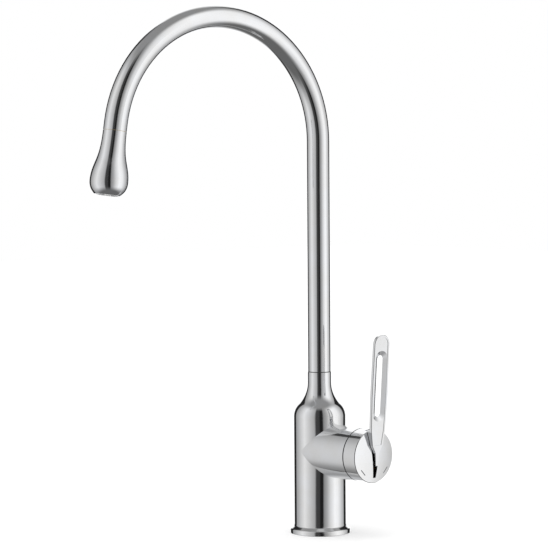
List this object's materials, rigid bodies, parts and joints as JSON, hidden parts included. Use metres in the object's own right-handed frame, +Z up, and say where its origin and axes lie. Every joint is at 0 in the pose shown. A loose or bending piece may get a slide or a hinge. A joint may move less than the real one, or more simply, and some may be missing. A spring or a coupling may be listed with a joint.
{
  "type": "kitchen tap",
  "caption": "Three way kitchen tap: column body, swivelling swan neck spout with bulb nozzle, and one side lever for mains and filtered water.",
  "frame": {"origin": "on the column's axis, in the plane where the base ring rests on the worktop", "axes": "+Z up along the column, +X out along the lever's barrel, the spout over -Y"},
  "size_m": [0.1159, 0.2578, 0.457],
  "materials": {
    "chrome_body": "polished chrome plate on cast brass",
    "chrome_spout": "polished chrome plate on drawn tube",
    "chrome_handle": "polished chrome plate on zinc",
    "mark_enamel": "dark enamel in a cut line",
    "black_pom": "moulded, satin",
    "black_rubber": "moulded rubber, matt",
    "bare_brass": "turned",
    "stainless": "turned stainless steel",
    "ceramic": "lapped alumina ceramic",
    "white_pom": "moulded, satin",
    "grey_plastic": "moulded, satin",
    "blue_hose": "extruded hose"
  },
  "bodies": {
    "body": {"tap_body": "chrome_body", "base_flange": "chrome_body", "base_gasket": "black_rubber", "inlet_block": "bare_brass", "inlet_block_seals": "black_rubber", "filter_riser_pipe": "stainless", "stop_screw": "stainless", "cartridge_base": "white_pom", "cartridge_port_seals": "black_rubber", "disc_gasket": "black_rubber", "fixed_ceramic_disc": "ceramic", "cartridge_housing": "grey_plastic", "cartridge_nut": "bare_brass", "cap_ring": "black_pom"},
    "spout": {"spout_tube": "chrome_spout", "spout_stem": "bare_brass", "spout_slide_rings": "white_pom", "spout_o_rings": "black_rubber", "neck_washer": "black_pom", "filter_tube_socket": "white_pom", "riser_o_ring": "black_rubber", "filter_tube": "blue_hose", "nozzle": "chrome_spout", "nozzle_adapter": "bare_brass", "nozzle_o_ring": "black_rubber", "aerator_seal": "black_rubber", "aerator_housing": "chrome_spout", "aerator_core": "grey_plastic", "aerator_mesh": "stainless", "filter_jet": "white_pom"},
    "selector": {"handle_cap": "chrome_handle", "cap_marks": "mark_enamel", "cartridge_rotor": "white_pom", "rotor_o_ring": "black_rubber", "pivot_pin": "stainless"},
    "lever_arm": {"lever": "chrome_handle", "cartridge_stem": "bare_brass", "grub_screw": "stainless"},
    "disc_carrier": {"disc_driver": "white_pom", "moving_ceramic_disc": "ceramic"}
  },
  "joints": [
    {"name": "spout_swivel", "type": "hinge", "parent": "body", "child": "spout", "pos_m": [0, 0, 0.12], "axis": [0, 0, 1], "range_deg": [-64.3, 75.7]},
    {"name": "lever_turn", "type": "hinge", "parent": "body", "child": "selector", "pos_m": [0.05, 0, 0.073], "axis": [1, 0, 0], "range_deg": [-50, 50]},
    {"name": "lever_tilt", "type": "hinge", "parent": "selector", "child": "lever_arm", "pos_m": [0.044, 0, 0.073], "axis": [0, 1, 0], "range_deg": [0, 20]},
    {"name": "disc_slide", "type": "slide", "parent": "selector", "child": "disc_carrier", "axis": [0, 0, 1], "range_m": [0, 0.0036]}
  ],
  "couplings": [
    {"joint": "disc_slide", "follows": "lever_tilt", "m_per_rad": 0.01}
  ]
}
